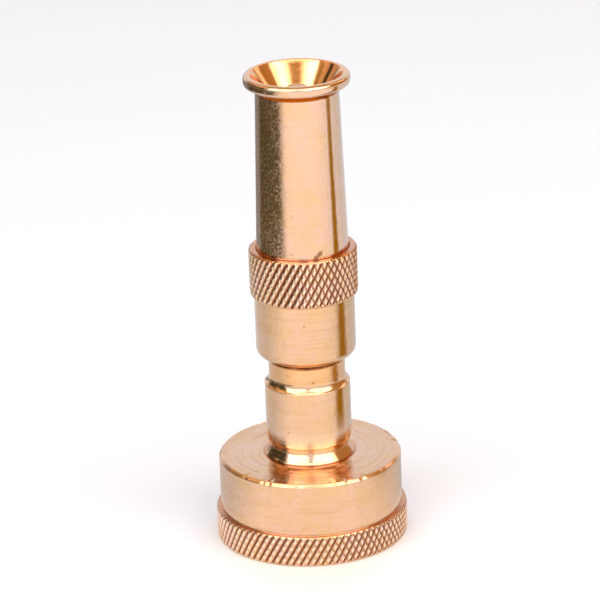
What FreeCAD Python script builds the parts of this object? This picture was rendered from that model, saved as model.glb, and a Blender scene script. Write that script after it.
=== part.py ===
import FreeCAD, Part
import os

import Sketcher

# Brass twist nozzle on a 3/4-11.5NH hose coupling. Millimetres, +Z up.
# Origin: centre of the coupling's open face, which is also the face it stands on.
# Rest pose: shut, with the needle in the throat. Turning the barrel by the right-hand
# rule about +Z screws it 2 mm a turn along +Z, which opens the throat.

SIZES = {
    # knurled foot and skirt of the hose coupling
    "foot_radius": 17.0,
    "foot_top": 5.5,
    "foot_chamfer": 0.35,
    "skirt_radius": 16.15,
    "plate_top": 15.2,
    "plate_chamfer": 0.45,
    # hose socket: plain wall at the thread's minor radius, and the washer's groove above it
    "socket_mouth_radius": 13.7,
    "socket_lead_top": 1.5,
    "socket_radius": 12.19,
    "washer_groove_bottom": 8.9,
    "washer_groove_radius": 12.9,
    "socket_roof": 12.2,
    # neck
    "flare_foot_radius": 7.7,
    "flare_radius": 8.2,
    "flare_middle": 16.0,
    "flare_top": 17.2,
    "undercut_radius": 7.05,
    "undercut_top": 17.9,
    "neck_bottom": 18.35,
    "neck_radius": 7.55,
    "neck_top": 30.1,
    "shoulder_cove_radius": 1.82,
    "neck_bore_radius": 5.6,
    "neck_bore_bottom": 17.6,
    "waterway_radius": 3.2,
    # hose washer and neck gasket
    "hose_washer_inner": 7.9,
    "hose_washer_outer": 12.7,
    "hose_washer_bottom": 9.0,
    "gasket_inner": 3.4,
    "gasket_outer": 5.5,
    "gasket_top": 18.6,
    # stem: land with a round groove under the sleeve's mouth, piston, relief, ported front
    "land_radius": 6.72,
    "land_groove_offset": 0.2,
    "land_groove_height": 33.25,
    "land_groove_size": 0.42,
    "piston_radius": 7.5,
    "piston_rear": 46.6,
    "piston_front": 50.2,
    "piston_groove_rear": 47.4,
    "piston_groove_front": 49.4,
    "piston_groove_radius": 5.75,
    "relief_radius": 4.95,
    "relief_front": 52.0,
    "stem_front_radius": 4.5,
    "stem_front": 73.0,
    "port_height": 68.5,
    "port_radius": 1.4,
    # drive thread, single start, right hand: "male" is on the stem, "female" in the tube;
    # a cutter's half width is given at the root and at the crest of the thread it leaves
    "thread_pitch": 2.0,
    "thread_front": 64.4,
    "male_crest": 6.0,
    "male_root": 5.1,
    "male_cut_start": 51.1,
    "male_cut_length": 15.0,
    "male_cut_root_half": 0.26,
    "male_cut_crest_half": 0.78,
    "female_crest": 5.25,
    "female_root": 6.12,
    "female_cut_start": 48.1,
    "female_cut_length": 10.0,
    "female_cut_root_half": 0.25,
    "female_cut_crest_half": 0.75,
    "cut_overrun": 0.25,
    # needle plug
    "needle_stub_rear": 70.4,
    "needle_head_radius": 4.4,
    "needle_groove_rear": 74.7,
    "needle_groove_front": 76.3,
    "needle_groove_radius": 3.1,
    "needle_cone_radius": 3.35,
    "needle_tip_radius": 2.0,
    "needle_tip": 82.8,
    "needle_tip_round": 1.2,
    # O-rings: radius of the centre circle, radius of the section, height
    "stem_ring_centre": 6.65,
    "stem_ring_section": 0.9,
    "stem_ring_height": 48.4,
    "needle_ring_centre": 3.85,
    "needle_ring_section": 0.75,
    "needle_ring_height": 75.5,
    "tube_ring_centre": 7.6,
    "tube_ring_section": 0.44,
    "tube_ring_height": 51.9,
    # wiper ring and its groove
    "wiper_inner": 6.78,
    "wiper_outer": 7.44,
    "wiper_bottom": 35.5,
    "wiper_top": 36.5,
    "wiper_groove_bottom": 35.45,
    "wiper_groove_top": 36.55,
    "wiper_groove_radius": 7.5,
    # barrel sleeve
    "sleeve_bottom": 33.75,
    "sleeve_radius": 8.78,
    "sleeve_round": 1.7,
    "guide_radius": 6.78,
    "guide_top": 37.4,
    "cylinder_radius": 7.6,
    "collar_bottom": 45.2,
    "collar_top": 53.7,
    "collar_radius": 9.5,
    "collar_chamfer": 0.4,
    # discharge tube
    "spigot_rear": 50.4,
    "spigot_radius": 8.05,
    "spigot_groove_rear": 51.4,
    "spigot_groove_front": 52.4,
    "spigot_groove_radius": 7.15,
    "tube_thread_front": 56.4,
    "tube_bore_radius": 6.4,
    "seat_rear": 74.0,
    "throat_rear": 77.5,
    "throat_front": 78.5,
    "throat_radius": 3.2,
    "tube_front_radius": 7.21,
    "rim_rear": 83.1,
    "rim_front": 85.1,
    "rim_radius": 9.22,
    "rim_hollow": 1.15,
    "rim_round": 0.72,
    "mouth_radius": 8.03,
}

# Sketcher's numbers for the origin point and the two axes.
ORIGIN_POINT = (-1, 1)
HORIZONTAL_AXIS = -1
VERTICAL_AXIS = -2
EDGE_TOLERANCE = 1e-4

doc = FreeCAD.newDocument("twist_nozzle")
sheet = doc.addObject("Spreadsheet::Sheet", "Sizes")
for row, (alias, size) in enumerate(SIZES.items(), start=1):
    sheet.set(f"A{row}", alias)
    sheet.set(f"B{row}", str(size))
    sheet.setAlias(f"B{row}", alias)
doc.recompute()


def number(terms):
    """Value of a sum of sheet names, such as "male_crest + cut_overrun"."""
    total = 0.0
    sign = 1
    for word in terms.split():
        if word == "-":
            sign = -1
        elif word == "+":
            sign = 1
        elif word != "0":
            total += sign * float(sheet.get(word))
    return total


def bound(terms):
    """The same sum as an expression on the sheet."""
    return " ".join(word if word in "+-" else f"Sizes.{word}" for word in terms.split())


def new_body(label):
    body = doc.addObject("PartDesign::Body", label)
    body.Label = label
    body.Placement = FreeCAD.Placement()
    return body


def new_sketch(body, name, plane_role="XZ_Plane"):
    """An empty sketch on one of the body's own origin planes."""
    plane = next(item for item in body.Origin.OriginFeatures if item.Role == plane_role)
    sketch = body.newObject("Sketcher::SketchObject", f"{body.Name}_{name}")
    sketch.AttachmentSupport = [(plane, "")]
    sketch.MapMode = "FlatFace"
    return sketch


def hold_point(sketch, geometry, point, radius, height):
    """Fix a sketch point by its distances from the axis and from the open face."""
    for kind, terms, axis in (
        ("DistanceX", radius, VERTICAL_AXIS),
        ("DistanceY", height, HORIZONTAL_AXIS),
    ):
        if terms == "0":
            sketch.addConstraint(Sketcher.Constraint("PointOnObject", geometry, point, axis))
        else:
            held = Sketcher.Constraint(kind, *ORIGIN_POINT, geometry, point, number(terms))
            index = sketch.addConstraint(held)
            sketch.setExpression(f"Constraints[{index}]", bound(terms))


def outline(body, name, points):
    """A closed outline of straight runs through (radius, height) points."""
    sketch = new_sketch(body, name)
    corners = [FreeCAD.Vector(number(radius), number(height), 0) for radius, height in points]
    for index, corner in enumerate(corners):
        following = corners[(index + 1) % len(corners)]
        sketch.addGeometry(Part.LineSegment(corner, following), False)
    for index, (radius, height) in enumerate(points):
        previous = (index - 1) % len(points)
        sketch.addConstraint(Sketcher.Constraint("Coincident", previous, 2, index, 1))
        hold_point(sketch, index, 1, radius, height)
    return sketch


def turn(body, points):
    """Turn the outline about the body's Z axis."""
    profile = outline(body, "profile", points)
    turned = body.newObject("PartDesign::Revolution", f"{body.Name}_turned")
    turned.Profile = profile
    turned.ReferenceAxis = (profile, ["V_Axis"])
    turned.Angle = 360
    doc.recompute()
    return turned


def circles(feature, *places):
    """Names of the feature's circular edges at the given (radius, height) places."""
    names = []
    for radius, height in places:
        for index, edge in enumerate(feature.Shape.Edges, start=1):
            curve = edge.Curve
            if not isinstance(curve, Part.Circle):
                continue
            same_radius = abs(curve.Radius - number(radius)) < EDGE_TOLERANCE
            same_height = abs(curve.Center.z - number(height)) < EDGE_TOLERANCE
            if same_radius and same_height:
                names.append(f"Edge{index}")
    if len(names) != len(places):
        raise RuntimeError(f"{feature.Name}: {len(names)} edges found at {len(places)} places")
    return names


def dress(body, kind, name, size, *places):
    """A Fillet or Chamfer of one size on the circular edges at the places."""
    base = body.Tip
    edges = circles(base, *places)
    feature = body.newObject(f"PartDesign::{kind}", f"{body.Name}_{name}")
    feature.Base = (base, edges)
    feature.setExpression("Radius" if kind == "Fillet" else "Size", bound(size))
    doc.recompute()
    return feature


def require_cut(body, feature, volume_before):
    body.Tip = feature
    doc.recompute()
    if not feature.Shape.Volume < volume_before:
        raise RuntimeError(f"{feature.Name} removed nothing")


def cut_thread(body, points, length):
    """Cut a right-hand helical groove with the given section, over a length along Z."""
    before = body.Tip.Shape.Volume
    section = outline(body, "thread_section", points)
    groove = body.newObject("PartDesign::SubtractiveHelix", f"{body.Name}_thread")
    groove.Profile = section
    groove.ReferenceAxis = (section, ["V_Axis"])
    groove.Mode = "pitch-height-angle"
    groove.setExpression("Pitch", bound("thread_pitch"))
    groove.setExpression("Height", bound(length))
    require_cut(body, groove, before)


def circle(body, name, plane_role, centre_radius, centre_height, size):
    """A sketch of one circle, held at its centre and by its radius."""
    sketch = new_sketch(body, name, plane_role)
    centre = FreeCAD.Vector(number(centre_radius), number(centre_height), 0)
    sketch.addGeometry(Part.Circle(centre, FreeCAD.Vector(0, 0, 1), number(size)), False)
    hold_point(sketch, 0, 3, centre_radius, centre_height)
    index = sketch.addConstraint(Sketcher.Constraint("Radius", 0, number(size)))
    sketch.setExpression(f"Constraints[{index}]", bound(size))
    return sketch


def cut_cove(body, centre_radius, centre_height, size):
    """Turn a round-section cove into the outside of the body."""
    before = body.Tip.Shape.Volume
    section = circle(body, "cove", "XZ_Plane", centre_radius, centre_height, size)
    groove = body.newObject("PartDesign::Groove", f"{body.Name}_cove_cut")
    groove.Profile = section
    groove.ReferenceAxis = (section, ["V_Axis"])
    groove.Angle = 360
    require_cut(body, groove, before)


def cut_port(body, plane_role):
    """Drill one hole right across the stem, square to the plane."""
    before = body.Tip.Shape.Volume
    sketch = circle(body, f"port_{plane_role}", plane_role, "0", "port_height", "port_radius")
    pocket = body.newObject("PartDesign::Pocket", f"{body.Name}_port_{plane_role}")
    pocket.Profile = sketch
    pocket.Type = "ThroughAll"
    pocket.SideType = "Symmetric"
    require_cut(body, pocket, before)


def ring(label, centre, section, height):
    """A round-section seal ring about the Z axis."""
    torus = doc.addObject("Part::Torus", label)
    torus.Label = label
    torus.Placement = FreeCAD.Placement()
    torus.setExpression("Radius1", bound(centre))
    torus.setExpression("Radius2", bound(section))
    torus.setExpression("Placement.Base.z", bound(height))
    return torus


def flat_ring(label, inner, outer, bottom, top):
    """A square-section ring about the Z axis."""
    body = new_body(label)
    turn(body, [(inner, bottom), (outer, bottom), (outer, top), (inner, top)])
    return body


def coupling_base():
    """Knurled female hose coupling and its neck. The knurl's crests are at the foot's radius."""
    body = new_body("coupling_base")
    turn(body, [
        ("socket_mouth_radius", "0"),
        ("foot_radius", "0"),
        ("foot_radius", "foot_top"),
        ("skirt_radius", "foot_top"),
        ("skirt_radius", "plate_top"),
        ("flare_foot_radius", "plate_top"),
        ("flare_radius", "flare_middle"),
        ("undercut_radius", "flare_top"),
        ("undercut_radius", "undercut_top"),
        ("neck_radius", "neck_bottom"),
        ("neck_radius", "neck_top"),
        ("neck_bore_radius", "neck_top"),
        ("neck_bore_radius", "neck_bore_bottom"),
        ("waterway_radius", "neck_bore_bottom"),
        ("waterway_radius", "socket_roof"),
        ("washer_groove_radius", "socket_roof"),
        ("washer_groove_radius", "washer_groove_bottom"),
        ("socket_radius", "washer_groove_bottom"),
        ("socket_radius", "socket_lead_top"),
    ])
    cut_cove(body, "land_radius + shoulder_cove_radius", "neck_top", "shoulder_cove_radius")
    dress(body, "Chamfer", "plate_edge", "plate_chamfer", ("skirt_radius", "plate_top"))
    dress(
        body, "Chamfer", "foot_edges", "foot_chamfer",
        ("foot_radius", "0"), ("foot_radius", "foot_top"),
    )
    return body


def stem():
    """Hollow stem: neck spigot, land, piston, drive thread and ported front."""
    body = new_body("stem")
    turn(body, [
        ("waterway_radius", "gasket_top"),
        ("neck_bore_radius", "gasket_top"),
        ("neck_bore_radius", "neck_top"),
        ("land_radius", "neck_top"),
        ("land_radius", "piston_rear"),
        ("piston_radius", "piston_rear"),
        ("piston_radius", "piston_groove_rear"),
        ("piston_groove_radius", "piston_groove_rear"),
        ("piston_groove_radius", "piston_groove_front"),
        ("piston_radius", "piston_groove_front"),
        ("piston_radius", "piston_front"),
        ("relief_radius", "piston_front"),
        ("relief_radius", "relief_front"),
        ("male_crest", "relief_front"),
        ("male_crest", "thread_front"),
        ("stem_front_radius", "thread_front"),
        ("stem_front_radius", "stem_front"),
        ("waterway_radius", "stem_front"),
    ])
    cut_cove(
        body, "land_radius + land_groove_offset", "land_groove_height", "land_groove_size",
    )
    cut_thread(body, [
        ("male_root", "male_cut_start - male_cut_root_half"),
        ("male_crest", "male_cut_start - male_cut_crest_half"),
        ("male_crest + cut_overrun", "male_cut_start - male_cut_crest_half"),
        ("male_crest + cut_overrun", "male_cut_start + male_cut_crest_half"),
        ("male_crest", "male_cut_start + male_cut_crest_half"),
        ("male_root", "male_cut_start + male_cut_root_half"),
    ], "male_cut_length")
    for plane_role in ("XZ_Plane", "YZ_Plane"):
        cut_port(body, plane_role)
    return body


def needle_plug():
    """Cone that shuts the throat, on a stub in the stem's front end."""
    body = new_body("needle_plug")
    turn(body, [
        ("0", "needle_stub_rear"),
        ("waterway_radius", "needle_stub_rear"),
        ("waterway_radius", "stem_front"),
        ("needle_head_radius", "stem_front"),
        ("needle_head_radius", "needle_groove_rear"),
        ("needle_groove_radius", "needle_groove_rear"),
        ("needle_groove_radius", "needle_groove_front"),
        ("needle_cone_radius", "needle_groove_front"),
        ("needle_tip_radius", "needle_tip"),
        ("0", "needle_tip"),
    ])
    dress(body, "Fillet", "tip", "needle_tip_round", ("needle_tip_radius", "needle_tip"))
    return body


def barrel_sleeve():
    """Sleeve with the knurled collar. The knurl's crests are at the collar's radius."""
    body = new_body("barrel_sleeve")
    turn(body, [
        ("guide_radius", "sleeve_bottom"),
        ("sleeve_radius", "sleeve_bottom"),
        ("sleeve_radius", "collar_bottom"),
        ("collar_radius", "collar_bottom"),
        ("collar_radius", "collar_top"),
        ("spigot_radius", "collar_top"),
        ("spigot_radius", "spigot_rear"),
        ("cylinder_radius", "spigot_rear"),
        ("cylinder_radius", "guide_top"),
        ("guide_radius", "guide_top"),
        ("guide_radius", "wiper_groove_top"),
        ("wiper_groove_radius", "wiper_groove_top"),
        ("wiper_groove_radius", "wiper_groove_bottom"),
        ("guide_radius", "wiper_groove_bottom"),
    ])
    dress(body, "Fillet", "rear_round", "sleeve_round", ("sleeve_radius", "sleeve_bottom"))
    dress(
        body, "Chamfer", "collar_edges", "collar_chamfer",
        ("collar_radius", "collar_bottom"), ("collar_radius", "collar_top"),
    )
    return body


def discharge_tube():
    """Tapered tube: threaded spigot, needle seat, throat and flared mouth with a beaded rim."""
    body = new_body("discharge_tube")
    turn(body, [
        ("female_crest", "spigot_rear"),
        ("spigot_radius", "spigot_rear"),
        ("spigot_radius", "spigot_groove_rear"),
        ("spigot_groove_radius", "spigot_groove_rear"),
        ("spigot_groove_radius", "spigot_groove_front"),
        ("spigot_radius", "spigot_groove_front"),
        ("spigot_radius", "collar_top"),
        ("tube_front_radius", "rim_rear"),
        ("rim_radius", "rim_rear"),
        ("rim_radius", "rim_front"),
        ("mouth_radius", "rim_front"),
        ("throat_radius", "throat_front"),
        ("throat_radius", "throat_rear"),
        ("tube_bore_radius", "seat_rear"),
        ("tube_bore_radius", "tube_thread_front"),
        ("female_crest", "tube_thread_front"),
    ])
    dress(body, "Fillet", "rim_hollow", "rim_hollow", ("tube_front_radius", "rim_rear"))
    dress(
        body, "Fillet", "rim_bead", "rim_round",
        ("rim_radius", "rim_rear"), ("rim_radius", "rim_front"),
    )
    cut_thread(body, [
        ("female_crest - cut_overrun", "female_cut_start - female_cut_crest_half"),
        ("female_crest", "female_cut_start - female_cut_crest_half"),
        ("female_root", "female_cut_start - female_cut_root_half"),
        ("female_root", "female_cut_start + female_cut_root_half"),
        ("female_crest", "female_cut_start + female_cut_crest_half"),
        ("female_crest - cut_overrun", "female_cut_start + female_cut_crest_half"),
    ], "female_cut_length")
    return body


pieces = [
    coupling_base(),
    flat_ring(
        "hose_washer", "hose_washer_inner", "hose_washer_outer",
        "hose_washer_bottom", "socket_roof",
    ),
    flat_ring(
        "neck_gasket", "gasket_inner", "gasket_outer",
        "neck_bore_bottom", "gasket_top",
    ),
    stem(),
    ring("stem_o_ring", "stem_ring_centre", "stem_ring_section", "stem_ring_height"),
    needle_plug(),
    ring("needle_o_ring", "needle_ring_centre", "needle_ring_section", "needle_ring_height"),
    flat_ring("wiper_ring", "wiper_inner", "wiper_outer", "wiper_bottom", "wiper_top"),
    barrel_sleeve(),
    ring("tube_o_ring", "tube_ring_centre", "tube_ring_section", "tube_ring_height"),
    discharge_tube(),
]
doc.recompute()

for item in doc.Objects:
    if "Invalid" in item.State or "Error" in item.State:
        raise RuntimeError(f"{item.Name} failed: {item.State}")
for piece in pieces:
    if piece.Shape.isNull() or not piece.Shape.isValid() or len(piece.Shape.Solids) != 1:
        raise RuntimeError(f"{piece.Label} is not one valid solid")

os.makedirs("parts", exist_ok=True)
for piece in pieces:
    piece.Shape.exportStep(f"parts/{piece.Label}.step")
    print(f"{piece.Label:16s} {piece.Shape.Volume:10.2f} mm3")
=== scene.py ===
import math

import bpy
import numpy as np
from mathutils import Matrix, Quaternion, Vector


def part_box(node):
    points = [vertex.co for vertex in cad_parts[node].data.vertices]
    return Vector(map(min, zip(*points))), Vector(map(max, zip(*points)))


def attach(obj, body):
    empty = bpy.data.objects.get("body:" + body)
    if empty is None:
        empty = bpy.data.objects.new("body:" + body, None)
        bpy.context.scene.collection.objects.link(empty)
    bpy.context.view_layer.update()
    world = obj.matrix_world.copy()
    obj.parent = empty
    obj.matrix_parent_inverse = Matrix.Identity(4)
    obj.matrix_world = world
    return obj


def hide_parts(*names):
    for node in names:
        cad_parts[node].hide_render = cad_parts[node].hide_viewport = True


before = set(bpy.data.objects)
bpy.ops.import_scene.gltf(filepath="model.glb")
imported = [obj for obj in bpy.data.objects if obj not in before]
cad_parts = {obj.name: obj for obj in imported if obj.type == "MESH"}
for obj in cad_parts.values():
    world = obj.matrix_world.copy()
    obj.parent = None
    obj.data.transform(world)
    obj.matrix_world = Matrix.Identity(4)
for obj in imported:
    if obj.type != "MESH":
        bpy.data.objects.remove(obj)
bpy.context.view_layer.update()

MM = 0.001

# ---------------------------------------------------------------- sizes, in millimetres


def reach(node):
    """(lowest z, highest z, outer radius) of a CAD node, in mm."""
    low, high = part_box(node)
    return low.z / MM, high.z / MM, min(high.x, -low.x, high.y, -low.y) / MM


FOOT_BOTTOM, NECK_TOP, FOOT_RADIUS = reach("coupling_base")
SLEEVE_BOTTOM, COLLAR_TOP, COLLAR_RADIUS = reach("barrel_sleeve")
SPIGOT_REAR, RIM_FRONT, RIM_RADIUS = reach("discharge_tube")

# hose coupling
FOOT_TOP = FOOT_BOTTOM + 5.5
SKIRT_RADIUS = FOOT_RADIUS - 0.85
PLATE_TOP = FOOT_BOTTOM + 15.2
PLATE_CHAMFER = 0.5
FOOT_CHAMFER = 0.35
PLATE_RING_RADIUS = 11.4
PLATE_RING_DEPTH = 0.04
FLARE_RADIUS = 7.95
FLARE_LINE = 0.3
UNDERCUT_RADIUS = 7.05
NECK_BOTTOM = PLATE_TOP + 3.0
NECK_RADIUS = 7.55
LAND_RADIUS = 6.72
NECK_BORE_RADIUS = 5.6
NECK_BORE_BOTTOM = 17.6
WATERWAY_RADIUS = 3.2
SHOULDER_COVE = 1.82
SOCKET_MOUTH_RADIUS = 13.7
SOCKET_RADIUS = 12.19
WASHER_GROOVE_RADIUS = 12.9
WASHER_GROOVE_BOTTOM = 8.9
SOCKET_ROOF = 12.2

# dents round the edge of the coupling's top: the width is in radians, and the shares say how
# far a dent moves the wall inward and the chamfer down
NICK_SEED = 11
NICK_COUNT = 26
NICK_WIDTH = 0.06
NICK_DEPTH = 0.16
NICK_SHARE_IN = 0.7
NICK_SHARE_DOWN = 0.4

# hose thread, 3/4-11.5NH
HOSE_PITCH = 25.4 / 11.5
HOSE_START = 0.4
HOSE_DEPTH = 1.43
HOSE_CREST_HALF = 0.966
FLANK_SLOPE = math.tan(math.radians(30))
HOSE_FADE = 0.6

# knurls: number of strokes each way, cut to a depth
KNURL_ANGLE = math.radians(30)
FOOT_STROKES = 82
FOOT_SEGMENTS = 8 * FOOT_STROKES
COLLAR_STROKES = 46
COLLAR_SEGMENTS = 12 * COLLAR_STROKES
KNURL_DEPTH = 0.36
KNURL_GROOVE_SHARE = 0.74
CREST_BAND = 0.05

# how hard the two knurling wheels press; the uneven one is lightest at one angle
EVEN_PRESS = 1.0
UNEVEN_PRESS = 0.92
UNEVEN_LOSS = 0.60
LIGHT_STROKE_ANGLE = math.radians(-195)

# how dark each place is painted, from 0 to 1: old dirt at the joint, and painted shade in the
# corners and hollows below
JOINT_STAIN = 0.9
HOLLOW_SHADE = 1.0
FOOT_STEP_SHADE = 0.42
FLARE_FOOT_SHADE = 0.55
COLLAR_FACE_SHADE = 0.4

# barrel sleeve
SLEEVE_RADIUS = 8.78
SLEEVE_ROUND = 1.7
GUIDE_RADIUS = 6.78
GUIDE_TOP = 37.4
CYLINDER_RADIUS = 7.6
COLLAR_BOTTOM = 45.2
COLLAR_CHAMFER = 0.4
WIPER_GROOVE = (35.45, 36.55, 7.5)
SPIGOT_RADIUS = 8.05
JOINT_CHAMFER = 0.22

# discharge tube
SPIGOT_GROOVE = (51.4, 52.4, 7.15)
TUBE_FRONT_RADIUS = 7.21
RIM_REAR = RIM_FRONT - 2.0
RIM_HOLLOW = 1.15
HOLLOW_LINE = RIM_REAR - 1.2
RIM_ROUND = 0.72
MOUTH_RADIUS = 8.03
THROAT_RADIUS = 3.2
THROAT_REAR, THROAT_FRONT = 77.5, 78.5
SEAT_REAR = 74.0
TUBE_BORE_RADIUS = 6.4
TUBE_THREAD_FRONT = 56.4
TUBE_SEGMENTS = 360

# dark smear of old sealant on the tube, on extra rows of points just above the collar
SMEAR_ROWS = (0.35, 0.65, 0.95, 1.3, 1.65, 2.0)
SMEAR_ANGLE = math.radians(289)
SMEAR_HALF_WIDTH = math.radians(7)
SMEAR_HALF_HEIGHT = 0.6
SMEAR_MIDDLE = 0.7
SMEAR_SLANT = 0.75
SMEAR_WAVE = 0.15
SMEAR_WAVES = 7
SMEAR_REACH = 1.6
SMEAR_DIRT = 0.7

# drive thread in the tube
DRIVE_PITCH = 2.0
DRIVE_CREST_RADIUS = 5.25
DRIVE_DEPTH = 0.87
DRIVE_PHASE = 48.1
DRIVE_CREST_HALF = 0.75
DRIVE_ROOT_HALF = 0.25

# ---------------------------------------------------------------- lathe work

ARC_STEP = math.radians(11)
EASED = 0.07
SHARP_ANGLE = math.radians(32)


def corner(radius, height, rounding=0.0, step=None):
    """A corner of an outline; step is the longest row spacing on the run that leaves it."""
    return (radius, height, rounding, step)


def arc(centre_radius, centre_height, size, start, end):
    """Corners along an arc, with its angles in degrees from the outward direction."""
    count = max(2, math.ceil(math.radians(abs(end - start)) / ARC_STEP))
    angles = np.radians(np.linspace(start, end, count + 1))
    return [
        corner(centre_radius + size * math.cos(a), centre_height + size * math.sin(a))
        for a in angles
    ]


def round_corner(before, at, after, size):
    """Points of the arc that rounds one corner."""
    into = (at - before) / np.linalg.norm(at - before)
    out = (after - at) / np.linalg.norm(after - at)
    turn = math.acos(float(np.clip(into @ out, -1, 1)))
    setback = size * math.tan(turn / 2)
    start, end = at - into * setback, at + out * setback
    inward = (out - into) / np.linalg.norm(out - into)
    centre = at + inward * size / math.cos(turn / 2)
    count = max(2, math.ceil(turn / ARC_STEP))
    points = []
    for share in np.linspace(0, 1, count + 1):
        spoke = (start - centre) * math.sin((1 - share) * turn)
        spoke += (end - centre) * math.sin(share * turn)
        points.append(centre + spoke / math.sin(turn))
    return points


def outline(corners):
    """Rows of (radius, height) round a closed outline, with its corners rounded and runs split."""
    places = [np.array(c[:2], float) for c in corners]
    rows = []
    for index, (_, _, rounding, step) in enumerate(corners):
        at, after = places[index], places[(index + 1) % len(places)]
        if rounding:
            points = round_corner(places[index - 1], at, after, rounding)
        else:
            points = [at]
        rows.extend(points)
        if step:
            next_rounding = corners[(index + 1) % len(places)][2]
            length = np.linalg.norm(after - points[-1]) - next_rounding
            splits = max(1, round(length / step))
            direction = (after - points[-1]) / np.linalg.norm(after - points[-1])
            rows.extend(points[-1] + direction * length * k / splits for k in range(1, splits))
    return np.array(rows)


def build_mesh(name, vertices, faces):
    mesh = bpy.data.meshes.new(name)
    mesh.from_pydata(vertices.tolist(), [], faces.tolist())
    mesh.update()
    mesh.shade_smooth()
    mesh.set_sharp_from_angle(angle=SHARP_ANGLE)
    piece = bpy.data.objects.new(name, mesh)
    bpy.context.scene.collection.objects.link(piece)
    return piece


def lathe(name, corners, segments, shape):
    """A closed piece turned about Z. shape(radius, height, angle) returns them with cuts made,
    and two values for every point that the mesh keeps: "cut", from -1 on a knurl's crests to 1
    at the bottom of its grooves, and one for how dark the point is painted: old dirt at the joint
    of sleeve and tube, and painted shade in the other corners and hollows."""
    rows = outline(corners)
    count = len(rows)
    angle = np.tile(np.arange(segments) * 2 * math.pi / segments, (count, 1))
    radius = np.repeat(rows[:, :1], segments, axis=1)
    height = np.repeat(rows[:, 1:], segments, axis=1)
    radius, height, cut, stain_and_shade = shape(radius, height, angle)
    vertices = np.stack([radius * np.cos(angle), radius * np.sin(angle), height], axis=-1)
    row, column = np.meshgrid(np.arange(count), np.arange(segments), indexing="ij")
    next_row, next_column = (row + 1) % count, (column + 1) % segments
    faces = np.stack(
        [
            row * segments + column,
            row * segments + next_column,
            next_row * segments + next_column,
            next_row * segments + column,
        ],
        axis=-1,
    )
    piece = build_mesh(name, vertices.reshape(-1, 3) * MM, faces.reshape(-1, 4))
    for label, values in (("cut", cut), ("stain_and_shade", stain_and_shade)):
        attribute = piece.data.attributes.new(label, "FLOAT", "POINT")
        attribute.data.foreach_set("value", values.reshape(-1).astype(np.float32))
    return piece


def knurl(radius, height, angle, crest, strokes, low, high):
    """Diamond knurl: two crossing sets of V grooves cut into the band between two heights.
    The wheel that leans left presses unevenly, so its grooves are shallower on one side."""
    turns = strokes / (2 * math.pi)
    lead = math.tan(KNURL_ANGLE) / crest
    depth = np.zeros_like(radius)
    light_side = 0.5 + 0.5 * np.cos(angle - LIGHT_STROKE_ANGLE)
    for hand, press in ((1, UNEVEN_PRESS - UNEVEN_LOSS * light_side), (-1, EVEN_PRESS)):
        phase = (turns * (angle + hand * (height - low) * lead)) % 1.0
        from_groove = np.abs(phase - 0.5) * 2
        groove = press - from_groove / KNURL_GROOVE_SHARE
        depth = np.maximum(depth, np.clip(groove, 0, 1))
    band = (height >= low) & (height <= high) & (radius > crest - 2 * KNURL_DEPTH)
    depth = np.where(band, depth, 0)
    cut_radius = np.minimum(radius, crest - KNURL_DEPTH * depth)
    cut = np.where(band, (radius - cut_radius) / KNURL_DEPTH, 0)
    crests = band & (radius > crest - CREST_BAND)
    return cut_radius, np.where(crests, cut - 1.0 + np.clip(3 * cut, 0, 1), cut)


def inner_thread(radius, height, angle, start, pitch, crest, depth, crest_half, slope, band):
    """Right-hand thread cut outward from a bore of radius crest, within a band of rows."""
    along = height - start - pitch * angle / (2 * math.pi)
    from_groove = np.abs((along / pitch + 0.5) % 1.0 - 0.5) * pitch
    cut = np.clip((crest_half - from_groove) / slope, 0, depth)
    return np.where(band, np.maximum(radius, crest + cut), radius)


def nicks(angle, seed, count, width, depth):
    """Depth of small dents at seeded places round an edge."""
    random = np.random.default_rng(seed)
    total = np.zeros_like(angle)
    for _ in range(count):
        centre = random.uniform(0, 2 * math.pi)
        spread = random.uniform(0.4, 1)
        size = random.uniform(0.2, 1)
        away = np.abs((angle - centre + math.pi) % (2 * math.pi) - math.pi)
        total = np.maximum(total, size * np.clip(1 - (away / (spread * width)) ** 2, 0, 1))
    return total * depth


# ---------------------------------------------------------------- pieces


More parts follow.
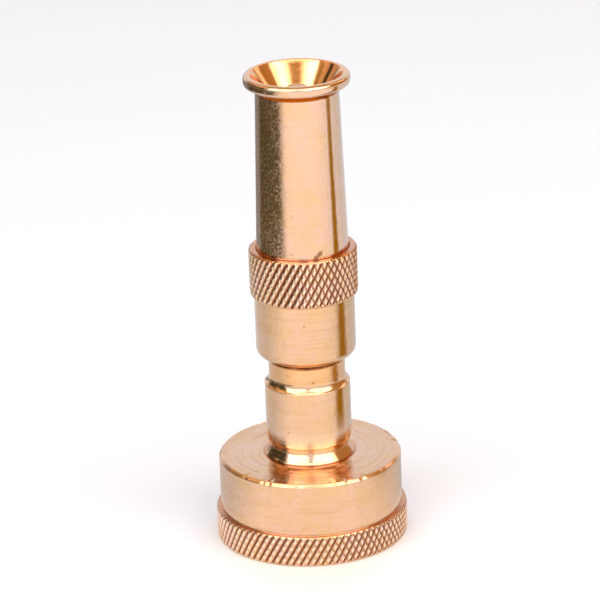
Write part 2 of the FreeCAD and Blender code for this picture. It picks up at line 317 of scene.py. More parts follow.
def coupling_base():
    """Knurled hose coupling with its neck, cut with the hose thread inside."""

    def shape(radius, height, angle):
        low, high = FOOT_BOTTOM, FOOT_TOP
        radius, cut = knurl(radius, height, angle, FOOT_RADIUS, FOOT_STROKES, low, high)
        in_socket = (radius < SOCKET_MOUTH_RADIUS + 0.3) & (radius > SOCKET_RADIUS - 0.05)
        in_socket &= (height < WASHER_GROOVE_BOTTOM - 0.01) & (height > 0.15)
        fade = np.clip((WASHER_GROOVE_BOTTOM - height) / HOSE_FADE, 0, 1)
        threaded = inner_thread(
            radius, height, angle, HOSE_START, HOSE_PITCH, SOCKET_RADIUS,
            HOSE_DEPTH, HOSE_CREST_HALF, FLANK_SLOPE, in_socket,
        )
        radius = radius + (threaded - radius) * fade
        edge = radius > SKIRT_RADIUS - 2 * PLATE_CHAMFER
        edge &= height > PLATE_TOP - 2 * PLATE_CHAMFER
        dent = np.where(edge, nicks(angle, NICK_SEED, NICK_COUNT, NICK_WIDTH, NICK_DEPTH), 0)
        # the corner where the skirt meets the top of the foot is painted dark: painted shade
        step = (np.abs(height - FOOT_TOP) < 0.25) & (radius > SKIRT_RADIUS - 0.01)
        step &= radius < FOOT_RADIUS - FOOT_CHAMFER + 0.08
        # the foot of the flare, where it meets the top of the coupling, is painted dark: painted
        # shade
        line = (height < PLATE_TOP + FLARE_LINE - 0.05) & (height > PLATE_TOP - 0.01)
        line &= np.abs(radius - FLARE_RADIUS) < 0.2
        stain_and_shade = np.where(step, FOOT_STEP_SHADE, np.where(line, FLARE_FOOT_SHADE, 0))
        on_top = height > PLATE_TOP - 0.02
        sunk = dent * np.where(on_top, 1, NICK_SHARE_DOWN)
        return radius - dent * NICK_SHARE_IN, height - sunk, cut, stain_and_shade

    foot_step = 2 * math.pi * FOOT_RADIUS / FOOT_SEGMENTS / math.tan(KNURL_ANGLE)
    corners = [
        corner(SOCKET_MOUTH_RADIUS, FOOT_BOTTOM, EASED),
        corner(FOOT_RADIUS - FOOT_CHAMFER, FOOT_BOTTOM, EASED, 0.12),
        corner(FOOT_RADIUS, FOOT_BOTTOM + FOOT_CHAMFER, EASED, foot_step),
        corner(FOOT_RADIUS, FOOT_TOP - FOOT_CHAMFER, EASED, 0.12),
        corner(FOOT_RADIUS - FOOT_CHAMFER, FOOT_TOP, EASED, 0.2),
        corner(SKIRT_RADIUS, FOOT_TOP, 0.15),
        corner(SKIRT_RADIUS, FOOT_TOP + 0.45, 0, 2.0),
        corner(SKIRT_RADIUS, PLATE_TOP - 3 * PLATE_CHAMFER),
        corner(SKIRT_RADIUS, PLATE_TOP - PLATE_CHAMFER, 0.25),
        corner(SKIRT_RADIUS - PLATE_CHAMFER, PLATE_TOP, 0.25),
        corner(SKIRT_RADIUS - 3 * PLATE_CHAMFER, PLATE_TOP, 0, 1.2),
        corner(PLATE_RING_RADIUS, PLATE_TOP, 0.1),
        corner(PLATE_RING_RADIUS - 0.15, PLATE_TOP - PLATE_RING_DEPTH, 0.1),
        corner(PLATE_RING_RADIUS - 0.9, PLATE_TOP - PLATE_RING_DEPTH, 0.1),
        corner(PLATE_RING_RADIUS - 1.2, PLATE_TOP, 0.1),
        corner(FLARE_RADIUS + 0.5, PLATE_TOP),
        corner(FLARE_RADIUS + 0.15, PLATE_TOP),
        corner(FLARE_RADIUS, PLATE_TOP + 0.02),
        corner(FLARE_RADIUS, PLATE_TOP + FLARE_LINE, 0.1),
        corner(FLARE_RADIUS - 0.25, PLATE_TOP + 0.65, 0.3, 0.3),
        corner(UNDERCUT_RADIUS, PLATE_TOP + 1.9, 0.5),
        corner(UNDERCUT_RADIUS, NECK_BOTTOM - 0.3, 0.1),
        corner(NECK_RADIUS, NECK_BOTTOM, 0.35),
    ]
    cove_centre = LAND_RADIUS + SHOULDER_COVE
    edge_angle = math.degrees(math.acos((cove_centre - NECK_RADIUS) / SHOULDER_COVE))
    cove = arc(cove_centre, NECK_TOP, SHOULDER_COVE, 180 + edge_angle, 180)
    corners.append(corner(*cove[0][:2], 0.12))
    corners += cove[1:]
    corners += [
        corner(NECK_BORE_RADIUS, NECK_TOP),
        corner(NECK_BORE_RADIUS, NECK_BORE_BOTTOM),
        corner(WATERWAY_RADIUS, NECK_BORE_BOTTOM),
        corner(WATERWAY_RADIUS, SOCKET_ROOF),
        corner(WASHER_GROOVE_RADIUS, SOCKET_ROOF),
        corner(WASHER_GROOVE_RADIUS, WASHER_GROOVE_BOTTOM),
        corner(SOCKET_RADIUS, WASHER_GROOVE_BOTTOM, 0, 0.14),
        corner(SOCKET_RADIUS, SOCKET_MOUTH_RADIUS - SOCKET_RADIUS, 0, 0.14),
    ]
    return lathe("hose_coupling", corners, FOOT_SEGMENTS, shape)


def barrel_sleeve():
    """Round-bottomed sleeve with the knurled collar."""

    def shape(radius, height, angle):
        low, high = COLLAR_BOTTOM, COLLAR_TOP
        radius, cut = knurl(radius, height, angle, COLLAR_RADIUS, COLLAR_STROKES, low, high)
        joint = (radius < SPIGOT_RADIUS + JOINT_CHAMFER) & (height > COLLAR_TOP - 2 * JOINT_CHAMFER)
        # the collar's top face and chamfer are painted darker to damp their highlight: painted
        # shade
        face = (radius > SPIGOT_RADIUS) & (height > COLLAR_TOP - COLLAR_CHAMFER)
        stain_and_shade = np.where(joint, JOINT_STAIN, np.where(face, COLLAR_FACE_SHADE, 0))
        return radius, height, cut, stain_and_shade

    step = 2 * math.pi * COLLAR_RADIUS / COLLAR_SEGMENTS / math.tan(KNURL_ANGLE)
    groove_bottom, groove_top, groove_radius = WIPER_GROOVE
    corners = [
        corner(GUIDE_RADIUS, SLEEVE_BOTTOM),
        corner(SLEEVE_RADIUS, SLEEVE_BOTTOM, SLEEVE_ROUND),
        corner(SLEEVE_RADIUS, COLLAR_BOTTOM, 0.12),
        corner(COLLAR_RADIUS - COLLAR_CHAMFER, COLLAR_BOTTOM, EASED, 0.12),
        corner(COLLAR_RADIUS, COLLAR_BOTTOM + COLLAR_CHAMFER, EASED, step),
        corner(COLLAR_RADIUS, COLLAR_TOP - COLLAR_CHAMFER, EASED, 0.12),
        corner(COLLAR_RADIUS - COLLAR_CHAMFER, COLLAR_TOP, EASED, 0.3),
        corner(SPIGOT_RADIUS + JOINT_CHAMFER, COLLAR_TOP, EASED),
        corner(SPIGOT_RADIUS, COLLAR_TOP - JOINT_CHAMFER),
        corner(SPIGOT_RADIUS, SPIGOT_REAR),
        corner(CYLINDER_RADIUS, SPIGOT_REAR),
        corner(CYLINDER_RADIUS, GUIDE_TOP),
        corner(GUIDE_RADIUS, GUIDE_TOP),
        corner(GUIDE_RADIUS, groove_top),
        corner(groove_radius, groove_top),
        corner(groove_radius, groove_bottom),
        corner(GUIDE_RADIUS, groove_bottom),
    ]
    return lathe("grip_sleeve", corners, COLLAR_SEGMENTS, shape)


def mouth_radius_at(height):
    """Radius of the flared mouth at a height."""
    share = max(0, height - THROAT_FRONT) / (RIM_FRONT - THROAT_FRONT)
    return THROAT_RADIUS + (MOUTH_RADIUS - THROAT_RADIUS) * share


def tube_radius_at(height):
    """Outer radius of the tapered tube at a height."""
    share = (height - COLLAR_TOP) / (RIM_REAR - COLLAR_TOP)
    return SPIGOT_RADIUS + (TUBE_FRONT_RADIUS - SPIGOT_RADIUS) * share


def discharge_tube():
    """Tapered tube with a beaded rim, flared mouth, throat, seat and drive thread."""

    def shape(radius, height, angle):
        band = (radius < DRIVE_CREST_RADIUS + 0.02) & (height < TUBE_THREAD_FRONT + 0.01)
        slope = (DRIVE_CREST_HALF - DRIVE_ROOT_HALF) / DRIVE_DEPTH
        radius = inner_thread(
            radius, height, angle, DRIVE_PHASE, DRIVE_PITCH, DRIVE_CREST_RADIUS,
            DRIVE_DEPTH, DRIVE_CREST_HALF, slope, band,
        )
        # the hollow under the rim is painted dark: painted shade; the ring at the joint is old dirt
        in_hollow = (radius > TUBE_FRONT_RADIUS) & (radius < RIM_RADIUS - RIM_ROUND)
        in_hollow &= height < RIM_REAR + 0.01
        start = np.clip((height - HOLLOW_LINE) / 0.1, 0, 1)
        at_joint = (radius > SPIGOT_RADIUS - 0.1) & (np.abs(height - COLLAR_TOP) < 0.2)
        stain_and_shade = np.where(in_hollow, start * HOLLOW_SHADE, np.where(at_joint, JOINT_STAIN, 0))
        sideways = (angle - SMEAR_ANGLE) / SMEAR_HALF_WIDTH
        middle = COLLAR_TOP + SMEAR_MIDDLE + SMEAR_SLANT * sideways
        middle += SMEAR_WAVE * np.sin(SMEAR_WAVES * sideways)
        upward = (height - middle) / SMEAR_HALF_HEIGHT
        smear = np.clip(SMEAR_REACH - sideways ** 2 - upward ** 2, 0, 1)
        smear = np.where(radius > TUBE_FRONT_RADIUS, smear, 0)
        return radius, height, smear * SMEAR_DIRT, stain_and_shade

    groove_rear, groove_front, groove_radius = SPIGOT_GROOVE
    corners = [
        corner(DRIVE_CREST_RADIUS, SPIGOT_REAR),
        corner(SPIGOT_RADIUS, SPIGOT_REAR),
        corner(SPIGOT_RADIUS, groove_rear),
        corner(groove_radius, groove_rear),
        corner(groove_radius, groove_front),
        corner(SPIGOT_RADIUS, groove_front),
        corner(SPIGOT_RADIUS, COLLAR_TOP),
        *[corner(tube_radius_at(COLLAR_TOP + up), COLLAR_TOP + up) for up in SMEAR_ROWS],
        corner(tube_radius_at(COLLAR_TOP + 2.5), COLLAR_TOP + 2.5, 0, 1.5),
        corner(tube_radius_at(HOLLOW_LINE), HOLLOW_LINE),
        corner(tube_radius_at(HOLLOW_LINE + 0.1), HOLLOW_LINE + 0.1),
        corner(TUBE_FRONT_RADIUS, RIM_REAR, RIM_HOLLOW),
        corner(RIM_RADIUS, RIM_REAR, RIM_ROUND),
        corner(RIM_RADIUS, RIM_FRONT, RIM_ROUND),
        corner(MOUTH_RADIUS, RIM_FRONT, 0.15, 0.8),
        corner(THROAT_RADIUS, THROAT_FRONT, 0.3),
        corner(THROAT_RADIUS, THROAT_REAR, 0.2, 0.8),
        corner(TUBE_BORE_RADIUS, SEAT_REAR, 0.3),
        corner(TUBE_BORE_RADIUS, TUBE_THREAD_FRONT),
        corner(DRIVE_CREST_RADIUS, TUBE_THREAD_FRONT, 0, 0.12),
    ]
    tube = lathe("tapered_tube", corners, TUBE_SEGMENTS, shape)
    for face in tube.data.polygons:
        x, y, z = face.center / MM
        bored = z > THROAT_REAR and math.hypot(x, y) < mouth_radius_at(z) + 0.3
        face.material_index = 1 if bored else 0
    return tube


# ---------------------------------------------------------------- materials


class Graph:
    """Short calls for the nodes of one material."""

    def __init__(self, name):
        self.material = bpy.data.materials.new(name)
        self.material.use_nodes = True
        self.tree = self.material.node_tree
        self.shader = self.tree.nodes["Principled BSDF"]

    def link(self, source, target):
        self.tree.links.new(source, target)

    def fill(self, socket, value):
        if isinstance(value, bpy.types.NodeSocket):
            self.link(value, socket)
        else:
            socket.default_value = value

    def node(self, kind, **settings):
        made = self.tree.nodes.new(kind)
        for name, value in settings.items():
            setattr(made, name, value)
        return made

    def math(self, operation, first, second=0.0, clamp=False):
        made = self.node("ShaderNodeMath", operation=operation, use_clamp=clamp)
        self.fill(made.inputs[0], first)
        self.fill(made.inputs[1], second)
        return made.outputs[0]

    def add(self, first, second, clamp=False):
        return self.math("ADD", first, second, clamp)

    def times(self, first, second):
        return self.math("MULTIPLY", first, second)

    def join(self, x, y, z):
        made = self.node("ShaderNodeCombineXYZ")
        for socket, value in zip(made.inputs, (x, y, z)):
            self.fill(socket, value)
        return made.outputs[0]

    def noise(self, vector, scale=1.0, detail=2.0, roughness=0.5, distortion=0.0):
        made = self.node("ShaderNodeTexNoise")
        self.fill(made.inputs["Vector"], vector)
        made.inputs["Scale"].default_value = scale
        made.inputs["Detail"].default_value = detail
        made.inputs["Roughness"].default_value = roughness
        made.inputs["Distortion"].default_value = distortion
        return made.outputs["Fac"]

    def spread(self, value, low, high, to_low=0.0, to_high=1.0):
        made = self.node("ShaderNodeMapRange", clamp=True)
        self.fill(made.inputs["Value"], value)
        made.inputs["From Min"].default_value = low
        made.inputs["From Max"].default_value = high
        self.fill(made.inputs["To Min"], to_low)
        self.fill(made.inputs["To Max"], to_high)
        return made.outputs["Result"]

    def mix(self, share, first, second):
        made = self.node("ShaderNodeMix", data_type="RGBA")
        self.fill(made.inputs["Factor"], share)
        self.fill(made.inputs["A"], first)
        self.fill(made.inputs["B"], second)
        return made.outputs["Result"]

    def bump(self, height, distance, normal=None):
        made = self.node("ShaderNodeBump")
        made.inputs["Strength"].default_value = 1.0
        made.inputs["Distance"].default_value = distance
        self.fill(made.inputs["Height"], height)
        if normal:
            self.link(normal, made.inputs["Normal"])
        return made.outputs["Normal"]

    def position(self):
        """(place in mm, x, y, z, radius from the axis), in the piece's own frame."""
        place = self.node("ShaderNodeTexCoord").outputs["Object"]
        scaled = self.node("ShaderNodeVectorMath", operation="SCALE")
        self.link(place, scaled.inputs[0])
        scaled.inputs["Scale"].default_value = 1 / MM
        parts = self.node("ShaderNodeSeparateXYZ")
        self.link(scaled.outputs[0], parts.inputs[0])
        x, y, z = parts.outputs
        radius = self.math("SQRT", self.add(self.times(x, x), self.times(y, y)))
        return scaled.outputs[0], x, y, z, radius


# middle, pinker and yellower tint of each brass surface
SATIN_TINTS = ((0.82, 0.52, 0.325, 1), (0.83, 0.53, 0.405, 1), (0.79, 0.505, 0.235, 1))
POLISHED_TINTS = ((0.81, 0.53, 0.35, 1), (0.82, 0.535, 0.43, 1), (0.78, 0.51, 0.26, 1))
BORED_TINTS = ((0.92, 0.51, 0.24, 1), (0.93, 0.52, 0.28, 1), (0.88, 0.48, 0.19, 1))
STEM_TINTS = ((0.90, 0.53, 0.26, 1), (0.91, 0.53, 0.33, 1), (0.86, 0.50, 0.19, 1))
# pale colour on knurl crests: painted highlight
CREST_PAINTED_HIGHLIGHT = (1.0, 0.84, 0.68, 1)
# pale colour on the foot of the neck: painted light
NECK_FOOT_LIGHT = (1.0, 0.80, 0.58, 1)
TARNISH = (0.50, 0.27, 0.10, 1)
# dark colour: real dirt in pits and in the tube's smear, painted shade at the bottom of knurl
# grooves
DIRT_AND_GROOVE_SHADE = (0.20, 0.045, 0.015, 1)
# dark colour: old dirt at the joint, and painted shade in corners and hollows
STAIN_AND_SHADE_COLOUR = (0.42, 0.085, 0.0, 1)
# dark colour on the stem under the sleeve's mouth: painted shade
UNDER_SLEEVE_SHADE = (0.12, 0.020, 0.003, 1)

# noise layers: scale per mm, detail, roughness, distortion
SKIN_NOISE = (0.85, 2.0, 0.55)
CLOUD_NOISE = (0.22, 4.0, 0.6)
BLOTCH_NOISE = (0.55, 5.0, 0.65, 0.3)
GRAIN_NOISE = (9.0, 2.0, 0.6)
FLECK_NOISE = (2.8, 3.0, 0.6)
PIT_NOISE = (1.1, 1.0, 0.5)
SPECK_NOISE = (2.1, 4.0, 0.74)

# noise drawn out round the axis: scale along the surface and across, detail, roughness
RING_NOISE = (7.0, 0.15, 4.0, 0.75)
BAND_NOISE = (1.6, 0.10, 3.0, 0.6)

# where each layer begins and is full, on the scale of its noise or attribute
PATCH_RANGE = (0.42, 0.58)
STREAK_RANGE = (0.72, 0.95)
BLOTCH_RANGE = (0.58, 0.78)
PIT_RANGE = (0.775, 0.79)
SPECK_RANGE = (0.40, 0.66)
STAIN_AND_SHADE_RANGE = (0.30, 0.45)
CREST_HIGHLIGHT_RANGE = (-0.8, 0.0)
GROOVE_SHADE_AND_SMEAR_RANGE = (0.3, 0.8)

# how strongly each layer colours the metal
MIDDLE_TINT_SHARE = 0.35
BAND_TARNISH = 0.22
BLOTCH_TARNISH = 0.34
PIT_DARKNESS = 0.7
CREST_HIGHLIGHT_SHARE = 0.75
GROOVE_SHADE_AND_SMEAR_SHARE = 0.92
STAIN_AND_SHADE_SHARES = (0.85, 1.0)
UNDER_SLEEVE_SHADE_SHARE = 0.95
NECK_FOOT_LIGHT_SHARE = 0.7

# how far each layer changes the roughness
BLOTCH_WEAR = 0.25
RING_WEAR = 0.12
CUT_WEAR = 0.15
FRESH_POLISH = 0.10
PLATE_POLISH = 0.09

# places and heights in mm
# edge and wander of the painted shade on the stem under the sleeve's mouth
UNDER_SLEEVE_SHADE_EDGE = 0.12
UNDER_SLEEVE_SHADE_WANDER = 0.4
NECK_ZONE = (9.0, 8.9)
POLISHED_ZONE = (11.5, 14.5)
DULL_SIDE = (-4.0, 2.0)
BRIGHT_SIDE_SPECKLE = 0.3
GRAIN_HEIGHT = 0.004


def turned_noise(g, along, x, y, scale, across, detail, roughness):
    """Noise in long streaks round the axis, as a lathe tool leaves them."""
    streaks = g.join(g.times(along, scale), g.times(x, across), g.times(y, across))
    return g.noise(streaks, 1.0, detail, roughness)


def brass(name, tints, roughness, turning, peel, mottle, speckle, spread, under_sleeve_shade_rows=None, neck_foot_rows=None):
    """Turned brass. turning and peel are bump heights in mm: rings left by the tool, and the
    uneven skin that buffing leaves. mottle is how much the colour varies, speckle how much
    rougher the dull specks are, and spread how far the tool's rings smear a reflection along
    the axis. The first optional height range in mm is painted dark, as painted shade on the stem
    under the sleeve's mouth. The second is on the neck that was cut last and smoothest, fading
    upward, and is also painted lighter, as painted light; the coupling's top is smoother with it."""
    g = Graph(name)
    place, x, y, z, radius = g.position()
    along = g.add(z, radius)
    rings = turned_noise(g, along, x, y, *RING_NOISE)
    bands = turned_noise(g, along, x, y, *BAND_NOISE)
    blotch = g.noise(place, *BLOTCH_NOISE)

    clouds = g.noise(place, *CLOUD_NOISE)
    flecks = g.noise(place, *FLECK_NOISE)
    patches = g.add(g.times(clouds, 0.5), g.times(flecks, 0.5))
    colour = g.mix(g.spread(patches, *PATCH_RANGE), tints[1], tints[2])
    colour = g.mix(MIDDLE_TINT_SHARE, colour, tints[0])
    streaks = g.add(bands, g.times(rings, 0.5))
    pits = g.noise(place, *PIT_NOISE)
    for layer, limits, share, tint in (
        (streaks, STREAK_RANGE, BAND_TARNISH, TARNISH),
        (blotch, BLOTCH_RANGE, BLOTCH_TARNISH, TARNISH),
        (pits, PIT_RANGE, PIT_DARKNESS, DIRT_AND_GROOVE_SHADE),
    ):
        colour = g.mix(g.spread(layer, *limits, 0.0, share * mottle), colour, tint)

    cut = g.node("ShaderNodeAttribute", attribute_name="cut").outputs["Fac"]
    stain_and_shade = g.node("ShaderNodeAttribute", attribute_name="stain_and_shade").outputs["Fac"]
    # knurl crests are painted pale: painted highlight
    colour = g.mix(g.spread(cut, *CREST_HIGHLIGHT_RANGE, CREST_HIGHLIGHT_SHARE, 0.0), colour, CREST_PAINTED_HIGHLIGHT)
    # knurl groove bottoms are painted dark: painted shade; on the tube the same mix draws the real
    # sealant smear
    colour = g.mix(g.spread(cut, *GROOVE_SHADE_AND_SMEAR_RANGE, 0.0, GROOVE_SHADE_AND_SMEAR_SHARE), colour, DIRT_AND_GROOVE_SHADE)
    # how dark each place is painted: old dirt at the joint, painted shade in corners and hollows,
    # broken up by the blotches
    dirt_and_shade = g.times(stain_and_shade, g.spread(blotch, *STAIN_AND_SHADE_RANGE, *STAIN_AND_SHADE_SHARES))
    colour = g.mix(dirt_and_shade, colour, STAIN_AND_SHADE_COLOUR)
    uneven = g.math("SUBTRACT", blotch, 0.5)
    # the stem just under the sleeve's mouth is painted dark: painted shade
    if under_sleeve_shade_rows:
        low, high = under_sleeve_shade_rows
        ragged = g.add(z, g.times(uneven, UNDER_SLEEVE_SHADE_WANDER))
        above = g.spread(ragged, low, low + UNDER_SLEEVE_SHADE_EDGE)
        below = g.spread(ragged, high, high + UNDER_SLEEVE_SHADE_EDGE, 1.0, 0.0)
        colour = g.mix(g.times(g.times(above, below), UNDER_SLEEVE_SHADE_SHARE), colour, UNDER_SLEEVE_SHADE)

    worn = g.times(uneven, BLOTCH_WEAR)
    if neck_foot_rows:
        low, high = neck_foot_rows
        smoothest_and_lit = g.times(g.spread(z, low - 0.1, low), g.spread(z, low, high, 1.0, 0.0))
        smoothest_and_lit = g.times(smoothest_and_lit, g.spread(radius, *NECK_ZONE))
        # the foot of the neck is painted lighter: painted light
        colour = g.mix(g.times(smoothest_and_lit, NECK_FOOT_LIGHT_SHARE), colour, NECK_FOOT_LIGHT)
        worn = g.math("SUBTRACT", worn, g.times(smoothest_and_lit, FRESH_POLISH))
        plate = g.spread(z, PLATE_TOP - 0.2, PLATE_TOP - 0.1)
        polish = g.times(plate, g.spread(radius, *POLISHED_ZONE, PLATE_POLISH, 0.0))
        worn = g.math("SUBTRACT", worn, polish)
    worn = g.add(worn, g.times(g.math("SUBTRACT", rings, 0.5), RING_WEAR))
    worn = g.add(worn, g.times(cut, CUT_WEAR))
    specks = g.spread(g.noise(place, *SPECK_NOISE), *SPECK_RANGE)
    dull_side = g.spread(x, *DULL_SIDE, speckle, BRIGHT_SIDE_SPECKLE * speckle)
    worn = g.add(worn, g.times(specks, dull_side))

    g.link(colour, g.shader.inputs["Base Color"])
    g.link(g.add(worn, roughness, clamp=True), g.shader.inputs["Roughness"])
    g.shader.inputs["Metallic"].default_value = 1.0
    g.shader.inputs["Anisotropic"].default_value = spread
    g.shader.inputs["Anisotropic Rotation"].default_value = 0.25
    tangent = g.node("ShaderNodeTangent", direction_type="RADIAL", axis="Z")
    g.link(tangent.outputs["Tangent"], g.shader.inputs["Tangent"])

    normal = g.bump(rings, turning * MM)
    normal = g.bump(g.noise(place, *SKIN_NOISE), peel * MM, normal)
    normal = g.bump(g.noise(place, *GRAIN_NOISE), GRAIN_HEIGHT * MM, normal)
    g.link(normal, g.shader.inputs["Normal"])
    return g.material


DUST_NOISE = (0.9, 4.0, 0.6)
MOULD_NOISE = (7.0, 3.0, 0.6)
MOULD_HEIGHT = 0.02


def rubber(name, colour, lighter):
    """Moulded rubber or plastic with a fine grain, paler and duller where dust has settled."""
    g = Graph(name)
    place = g.position()[0]
    dust = g.noise(place, *DUST_NOISE)
    grain = g.noise(place, *MOULD_NOISE)
    g.link(g.mix(g.spread(dust, 0.4, 0.7), colour, lighter), g.shader.inputs["Base Color"])
    g.link(g.spread(dust, 0.3, 0.7, 0.5, 0.75), g.shader.inputs["Roughness"])
    g.link(g.bump(grain, MOULD_HEIGHT * MM), g.shader.inputs["Normal"])
    return g.material


FLOOR_WHITE = (0.92, 0.92, 0.92, 1)
FLOOR_SHADE = (0.90, 0.90, 0.90, 1)
FLOOR_NOISE_SCALE = 0.01
STRIP_START = 60
STRIP_WIDENING = 0.45


def make_matt(shader):
    shader.inputs["Roughness"].default_value = 1.0
    shader.inputs["Specular IOR Level"].default_value = 0.0


def floor_paint():
    """Pale matt floor, very slightly uneven."""
    g = Graph("floor_paint")
    place = g.position()[0]
    colour = g.mix(g.noise(place, FLOOR_NOISE_SCALE), FLOOR_WHITE, FLOOR_SHADE)
    g.link(colour, g.shader.inputs["Base Color"])
    make_matt(g.shader)
    return g.material


def card_paint(name, colour, fade, middle, half, soft):
    """Matt card whose edges fade away. It is solid within half of the middle, and gone a further
    soft away, in degrees of azimuth or in mm across a strip that widens away from the object."""
    g = Graph(name)
    _, x, y, _, _ = g.position()
    if fade == "azimuth":
        turned = g.math("ARCTAN2", x, g.times(y, -1.0))
        across = g.times(turned, 180 / math.pi)
    else:
        widening = g.math("POWER", g.math("DIVIDE", x, STRIP_START), STRIP_WIDENING)
        across = g.math("DIVIDE", y, widening)
    away = g.math("ABSOLUTE", g.math("SUBTRACT", across, middle))
    g.shader.inputs["Base Color"].default_value = colour
    g.link(g.spread(away, half, half + soft, 1.0, 0.0), g.shader.inputs["Alpha"])
    make_matt(g.shader)
    return g.material


# ---------------------------------------------------------------- studio

# Azimuths are in degrees: 0 is the camera's side, and positive is to the right. What lies on the
# floor is in mm, and lamps are in metres.
AIM = Vector((0, 0, RIM_FRONT * MM / 2))
FLOOR_HALF = 3000
FLOOR_DROP = 0.02
CARD_LIFT = 0.3
CARD_SPACING = 0.05
NEAR = (25, 139)
FAR = (140, 900)
FAN_POINTS = 12
STRIP = ((52, -22), (360, -55), (360, 55), (52, 22))
BOX_ELEVATION = 38
BOX_DISTANCE = 0.9
BOX_DEPTH = 0.60


def fan(radii, start, end):
    """Outline in mm of a sector round the object, between two radii and two azimuths."""
    inner, outer = radii
    angles = np.radians(np.linspace(start, end, FAN_POINTS))
    points = [(inner * math.sin(a), -inner * math.cos(a)) for a in angles]
    points += [(outer * math.sin(a), -outer * math.cos(a)) for a in angles[::-1]]
    return points


# The two near cards and the strip at the right are painted shadows: the object's own shadows on the
# floor, seen only in the brass's reflections.
# name, outline, colour, what the edges fade across, middle, solid half, soft edge
CARDS = (
    ("painted_shadow_behind_left", fan(NEAR, -178, -50), (0.63, 0.67, 0.70, 1), "azimuth", -130, 35, 45),
    ("painted_shadow_behind_right", fan(NEAR, 36, 178), (0.58, 0.63, 0.66, 1), "azimuth", 165, 40, 90),
    ("card_left", fan(FAR, -127, -34), (0.082, 0.078, 0.042, 1), "azimuth", -92, 38, 17),
    ("card_far_left", fan(FAR, -178, -127.5), (0.27, 0.29, 0.31, 1), "azimuth", -150, 30, 2),
    ("card_far_right", fan(FAR, 46, 178), (0.68, 0.76, 0.86, 1), "azimuth", 165, 40, 80),
    ("painted_shadow_strip_right", STRIP, (0.30, 0.17, 0.006, 1), "across", 0, 13, 6),
)

# name, azimuth, elevation, distance, width, depth, radiance
SOFTBOXES = (
    ("softbox_left", -37, BOX_ELEVATION, BOX_DISTANCE, 0.90, BOX_DEPTH, 1.9),
    ("softbox_right", 44, BOX_ELEVATION, BOX_DISTANCE, 1.02, BOX_DEPTH, 1.9),
    ("softbox_top", 0, 71, BOX_DISTANCE, 1.50, 0.34, 1.6),
)

# name, azimuth, width, radiance, colour
EDGE_STRIPS = (
    ("strip_back_right", 126, 0.20, 1.0, (1.0, 0.86, 0.80)),
    ("strip_left", -100, 0.20, 0.5, (1.0, 0.66, 0.40)),
    ("strip_back_left", -128, 0.26, 0.6, (1.0, 0.60, 0.42)),
)
FILL = ("fill", 180, 62, 0.75, 0.8, 0.5, 1.0)
FILL_BLUE = (0.16, 0.86, 1.68)

# colours of the surroundings, and where on each axis of the unit sphere one fades to the next
SIDE_LEFT = (0.07, 0.065, 0.04, 1)
SIDE_RIGHT = (0.50, 0.26, 0.08, 1)
FRONT_AND_BACK = (0.93, 0.96, 1.08, 1)
OVERHEAD = (0.60, 0.38, 0.17, 1)
SIDES_MEET = (-0.05, 0.05)
FRONT_BEGINS = (-0.30, -0.44)
BACK_BEGINS = (0.64, 0.78)
OVERHEAD_BEGINS = (0.50, 0.68)


def sheet(name, points, height, material):
    """A flat stage piece at a height, through points in mm, facing up."""
    corners = [(x * MM, y * MM, height * MM) for x, y in points]
    mesh = bpy.data.meshes.new(name)
    mesh.from_pydata(corners, [], [list(range(len(corners)))])
    mesh.materials.append(material)
    made = bpy.data.objects.new(name, mesh)
    bpy.context.scene.collection.objects.link(made)
    return made


def softbox(name, azimuth, elevation, distance, width, depth, radiance):
    """A rectangular lamp aimed at the object."""
    a, e = math.radians(azimuth), math.radians(elevation)
    place = Vector((math.sin(a) * math.cos(e), -math.cos(a) * math.cos(e), math.sin(e)))
    lamp = bpy.data.lights.new(name, "AREA")
    lamp.shape = "RECTANGLE"
    lamp.size, lamp.size_y = width, depth
    lamp.energy = radiance * math.pi * width * depth
    made = bpy.data.objects.new(name, lamp)
    made.location = AIM + place * distance
    made.rotation_euler = (-place).to_track_quat("-Z", "Y").to_euler()
    bpy.context.scene.collection.objects.link(made)
    return made


def studio():
    """Pale floor, softboxes, and cards that only show as reflections in the brass; three of the
    cards are painted shadows on the floor.
    """
    half = FLOOR_HALF
    floor = [(-half, -half), (half, -half), (half, half), (-half, half)]
    sheet("floor", floor, -FLOOR_DROP, floor_paint())

    for index, (name, points, *paint) in enumerate(CARDS):
        lift = CARD_LIFT + CARD_SPACING * index
        card = sheet(name, points, lift, card_paint(name, *paint))
        card.visible_camera = False
        card.visible_shadow = False
        card.visible_diffuse = False

    for box in SOFTBOXES:
        softbox(*box)
    for name, azimuth, width, radiance, colour in EDGE_STRIPS:
        strip = softbox(name, azimuth, BOX_ELEVATION, BOX_DISTANCE, width, BOX_DEPTH, radiance)
        strip.data.color = colour
        strip.visible_diffuse = False

    fill = softbox(*FILL)
    fill.data.color = FILL_BLUE
    fill.visible_glossy = False
    backdrop()


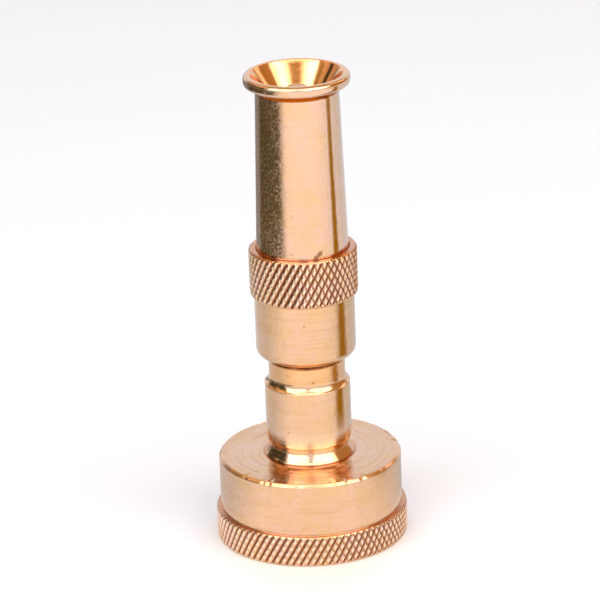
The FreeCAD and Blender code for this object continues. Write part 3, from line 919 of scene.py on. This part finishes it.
def backdrop():
    """Surroundings: white in front and behind, dark at the left, brown at the right and above."""
    world = bpy.data.worlds.new("studio")
    world.use_nodes = True
    nodes, links = world.node_tree.nodes, world.node_tree.links
    direction = nodes.new("ShaderNodeTexCoord").outputs["Generated"]
    parts = nodes.new("ShaderNodeSeparateXYZ")
    links.new(direction, parts.inputs[0])

    def spread(value, *ends):
        made = nodes.new("ShaderNodeMapRange")
        links.new(value, made.inputs["Value"])
        for socket, end in zip(("From Min", "From Max"), ends):
            made.inputs[socket].default_value = end
        return made.outputs["Result"]

    def mix(share, first, second):
        made = nodes.new("ShaderNodeMix")
        made.data_type = "RGBA"
        links.new(share, made.inputs["Factor"])
        for socket, colour in (("A", first), ("B", second)):
            if isinstance(colour, tuple):
                made.inputs[socket].default_value = colour
            else:
                links.new(colour, made.inputs[socket])
        return made.outputs["Result"]

    lit = nodes.new("ShaderNodeMath")
    lit.operation = "ADD"
    links.new(spread(parts.outputs["Y"], *FRONT_BEGINS), lit.inputs[0])
    links.new(spread(parts.outputs["Y"], *BACK_BEGINS), lit.inputs[1])
    sides = mix(spread(parts.outputs["X"], *SIDES_MEET), SIDE_LEFT, SIDE_RIGHT)
    low = mix(lit.outputs[0], sides, FRONT_AND_BACK)
    whole = mix(spread(parts.outputs["Z"], *OVERHEAD_BEGINS), low, OVERHEAD)
    links.new(whole, nodes["Background"].inputs["Color"])
    bpy.context.scene.world = world


def camera():
    """At the viewing distance of a close product shot, looking down, with a slight roll."""
    distance, height = 0.5838, 0.2636
    pitch, yaw, roll = math.radians(20.65), math.radians(0.077), math.radians(-2.1)
    data = bpy.data.cameras.new("camera")
    data.lens = 214.0
    data.sensor_width = 36.0
    data.clip_start = 0.01
    made = bpy.data.objects.new("camera", data)
    made.location = (0, -distance, height)
    made.rotation_mode = "QUATERNION"
    look = Quaternion((0, 0, 1), yaw) @ Quaternion((1, 0, 0), math.pi / 2 - pitch)
    made.rotation_quaternion = look @ Quaternion((0, 0, 1), roll)
    bpy.context.scene.collection.objects.link(made)
    bpy.context.scene.camera = made


# ---------------------------------------------------------------- the object

# heights in mm of the foot of the neck, smoothest and painted lighter as painted light, and of the
# painted shade on the stem under the sleeve's mouth
NECK_FOOT_ROWS = (NECK_BOTTOM, NECK_BOTTOM + 3.2)
UNDER_SLEEVE_SHADE_ROWS = (SLEEVE_BOTTOM - 0.8, SLEEVE_BOTTOM - 0.05)

satin = brass(
    "satin_brass", SATIN_TINTS, roughness=0.19, turning=0.014, peel=0.03,
    mottle=1.0, speckle=0.10, spread=0.4, neck_foot_rows=NECK_FOOT_ROWS,
)
stem_brass = brass(
    "stem_brass", STEM_TINTS, roughness=0.20, turning=0.014, peel=0.03,
    mottle=1.0, speckle=0.10, spread=0.5, under_sleeve_shade_rows=UNDER_SLEEVE_SHADE_ROWS,
)
polished = brass(
    "polished_brass", POLISHED_TINTS, roughness=0.07, turning=0.003, peel=0.022,
    mottle=0.5, speckle=0.32, spread=0.3,
)
bored = brass(
    "bored_brass", BORED_TINTS, roughness=0.07, turning=0.003, peel=0.006,
    mottle=0.5, speckle=0.0, spread=0.2,
)
black_rubber = rubber("black_rubber", (0.02, 0.02, 0.02, 1), (0.05, 0.05, 0.048, 1))
red_rubber = rubber("red_rubber", (0.28, 0.035, 0.02, 1), (0.36, 0.07, 0.045, 1))
wiper_plastic = rubber("wiper_plastic", (0.75, 0.73, 0.68, 1), (0.85, 0.83, 0.78, 1))

for piece, node, body, material, slot in (
    (coupling_base(), "coupling_base", "base", satin, "satin_brass"),
    (barrel_sleeve(), "barrel_sleeve", "barrel", satin, "satin_brass"),
    (discharge_tube(), "discharge_tube", "barrel", polished, "polished_brass"),
):
    piece.data.materials.append(material)
    if material is polished:
        piece.data.materials.append(bored)
    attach(piece, body)
    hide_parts(node)

for node, material in (
    ("stem", stem_brass),
    ("needle_plug", polished),
    ("hose_washer", red_rubber),
    ("neck_gasket", red_rubber),
    ("stem_o_ring", black_rubber),
    ("needle_o_ring", black_rubber),
    ("tube_o_ring", black_rubber),
    ("wiper_ring", wiper_plastic),
):
    for material_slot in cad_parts[node].material_slots:
        material_slot.material = material

studio()
camera()
bpy.context.scene.view_settings.view_transform = "Standard"
